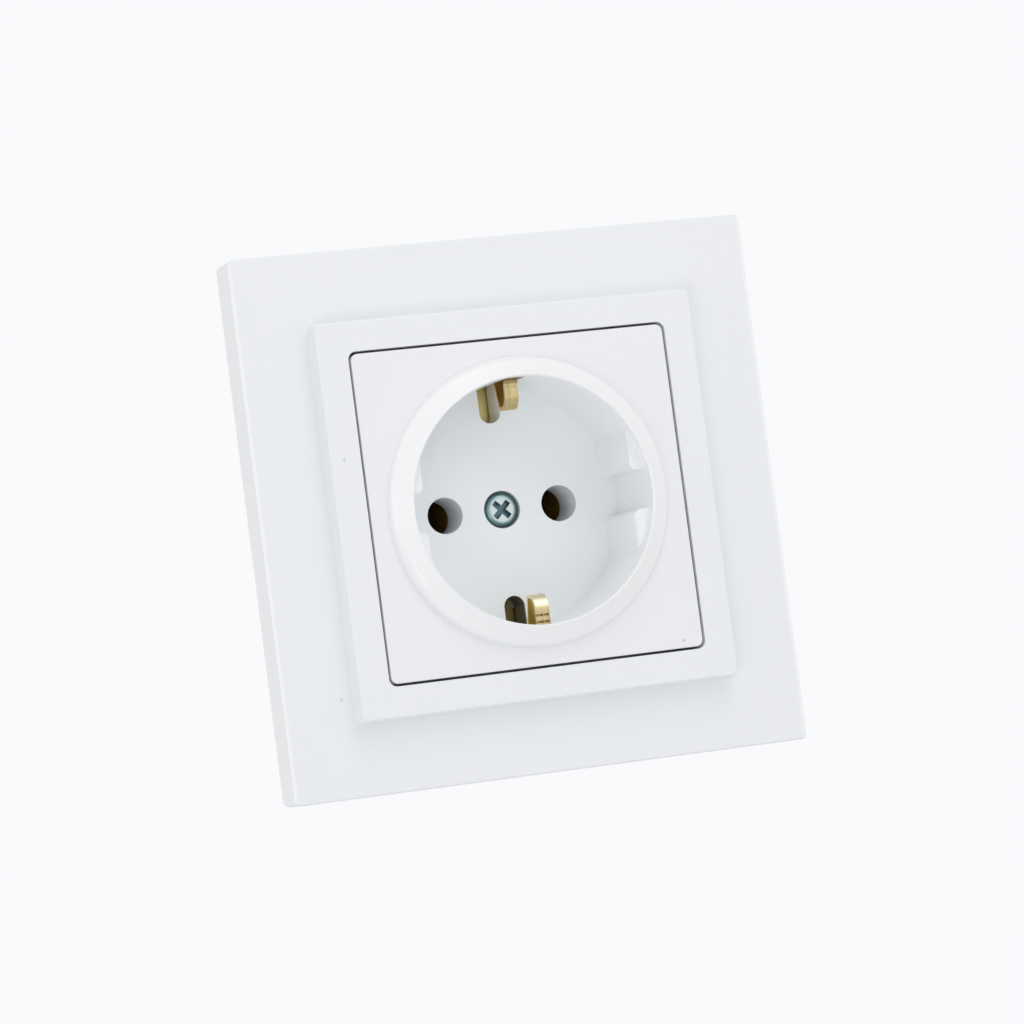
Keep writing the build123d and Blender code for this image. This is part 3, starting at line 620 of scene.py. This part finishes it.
class SOCKET_OT_plate(bpy.types.Operator):
    """Rolled zinc plated sheet on the support plate and the claws"""

    bl_idname = "socket.plate"
    bl_label = "Support plate and claws"

    def execute(self, context):
        sheet = metal("Plated sheet", colours().zinc, PLATED_SHEET)
        dress(sheet, "support_plate", "claw_left", "claw_right")
        return {"FINISHED"}


class SOCKET_OT_springs(bpy.types.Operator):
    """Bare steel on the contact springs"""

    bl_idname = "socket.springs"
    bl_label = "Contact springs"

    def execute(self, context):
        steel = metal("Spring steel", colours().spring_steel, SPRING_STEEL)
        dress(steel, "contact_spring_live", "contact_spring_neutral")
        return {"FINISHED"}


class SOCKET_OT_base(bpy.types.Operator):
    """Dark thermoset on the socket base and its back cover, olive fibre on the strip holder, lightened as
    painted light where it sits in shade
    """

    bl_idname = "socket.base"
    bl_label = "Socket base"

    def execute(self, context):
        grey = surfaced("Dark thermoset", colours().base_grey, MATT_MOULDING)
        dress(grey, "socket_base", "back_cover")
        # Painted light: the holder's olive is lighter than it would be, to stand in for light in the slot
        dress(surfaced("Holder fibre", HOLDER_PAINTED_LIGHT_OLIVE, MATT_MOULDING), "strip_holder")
        return {"FINISHED"}


def light_world(stage):
    """Dome light for the object, and the plain backdrop for what the camera and reflections see."""
    world = bpy.data.worlds.new("Studio")
    world.use_nodes = True
    tree = world.node_tree
    tree.nodes.clear()
    out = tree.nodes.new("ShaderNodeOutputWorld")
    rays = tree.nodes.new("ShaderNodeLightPath").outputs
    seen = join(tree, "MAXIMUM", rays["Is Camera Ray"], rays["Is Glossy Ray"])
    through = join(tree, "MAXIMUM", seen, rays["Is Transmission Ray"])
    dome = tree.nodes.new("ShaderNodeBackground")
    dome.inputs["Color"].default_value = (*DOME_WHITE, 1.0)
    dome.inputs["Strength"].default_value = stage.dome_strength
    plain = tree.nodes.new("ShaderNodeBackground")
    plain.inputs["Color"].default_value = (*stage.backdrop, 1.0)
    plain.inputs["Strength"].default_value = 1.0
    mix = tree.nodes.new("ShaderNodeMixShader")
    tree.links.new(through, mix.inputs["Fac"])
    tree.links.new(dome.outputs[0], mix.inputs[1])
    tree.links.new(plain.outputs[0], mix.inputs[2])
    tree.links.new(mix.outputs[0], out.inputs["Surface"])
    return world


def soft_lamp(name, place, side, power):
    """A square soft lamp that looks at the middle of the socket."""
    lamp = bpy.data.lights.new(name, "AREA")
    lamp.shape = "SQUARE"
    lamp.size = side
    lamp.energy = power
    holder = bpy.data.objects.new(name, lamp)
    bpy.context.scene.collection.objects.link(holder)
    holder.location = place
    aim = -Vector(place)
    holder.rotation_euler = aim.to_track_quat("-Z", "Y").to_euler()


class SOCKET_OT_stage(bpy.types.Operator):
    """Pale floor, soft light and the camera"""

    bl_idname = "socket.stage"
    bl_label = "Floor, light and camera"

    def execute(self, context):
        scene = context.scene
        stage = scene.socket_stage
        scene.view_settings.view_transform = "Standard"
        scene.world = light_world(stage)

        # Floor, well below the socket as it hangs on the wall
        bpy.ops.mesh.primitive_plane_add(size=FLOOR_SIDE)
        floor = context.active_object
        floor.name = "Floor"
        floor.data.transform(Matrix.Translation((0.0, 0.0, -stage.floor_drop)))
        paint = new_material("Floor paint")
        shader = shader_of(paint)
        shader.inputs["Base Color"].default_value = (*stage.backdrop, 1.0)
        shader.inputs["Roughness"].default_value = FLOOR_ROUGHNESS
        floor.data.materials.append(paint)

        for name, place, side, share in LAMPS:
            soft_lamp(name, place, side, share * stage.lamp_power)

        # Camera at the photograph's angle
        view = bpy.data.cameras.new("Camera")
        view.lens = stage.lens
        view.sensor_width = SENSOR_WIDTH
        view.clip_start = CAMERA_CLIP_START
        camera = bpy.data.objects.new("Camera", view)
        scene.collection.objects.link(camera)
        right = Vector(CAMERA_RIGHT)
        up = Vector(CAMERA_UP)
        turn = Matrix((right, up, right.cross(up))).transposed().to_4x4()
        camera.matrix_world = Matrix.Translation(CAMERA_PLACE) @ turn
        scene.camera = camera
        return {"FINISHED"}


STEPS = (
    SOCKET_OT_frame,
    SOCKET_OT_cover,
    SOCKET_OT_brass,
    SOCKET_OT_fasteners,
    SOCKET_OT_plate,
    SOCKET_OT_springs,
    SOCKET_OT_base,
    SOCKET_OT_stage,
)


class SOCKET_PT_panel(bpy.types.Panel):
    """Lists the steps and what can be changed"""

    bl_label = "Wall socket"
    bl_idname = "SOCKET_PT_panel"
    bl_space_type = "VIEW_3D"
    bl_region_type = "UI"
    bl_category = "Wall socket"

    def draw(self, context):
        layout = self.layout
        for settings in (context.scene.socket_colours, context.scene.socket_stage):
            for name in settings.bl_rna.properties.keys():
                if name not in ("rna_type", "name"):
                    layout.prop(settings, name)
        for step in STEPS:
            layout.operator(step.bl_idname, text=step.bl_label)


CLASSES = (SocketColours, SocketStage, *STEPS, SOCKET_PT_panel)


def register():
    for cls in CLASSES:
        bpy.utils.register_class(cls)
    bpy.types.Scene.socket_colours = bpy.props.PointerProperty(type=SocketColours)
    bpy.types.Scene.socket_stage = bpy.props.PointerProperty(type=SocketStage)


def unregister():
    del bpy.types.Scene.socket_stage
    del bpy.types.Scene.socket_colours
    for cls in reversed(CLASSES):
        bpy.utils.unregister_class(cls)


def main():
    register()
    bpy.ops.socket.frame()
    bpy.ops.socket.cover()
    bpy.ops.socket.brass()
    bpy.ops.socket.fasteners()
    bpy.ops.socket.plate()
    bpy.ops.socket.springs()
    bpy.ops.socket.base()
    bpy.ops.socket.stage()


if __name__ == "__main__":
    main()
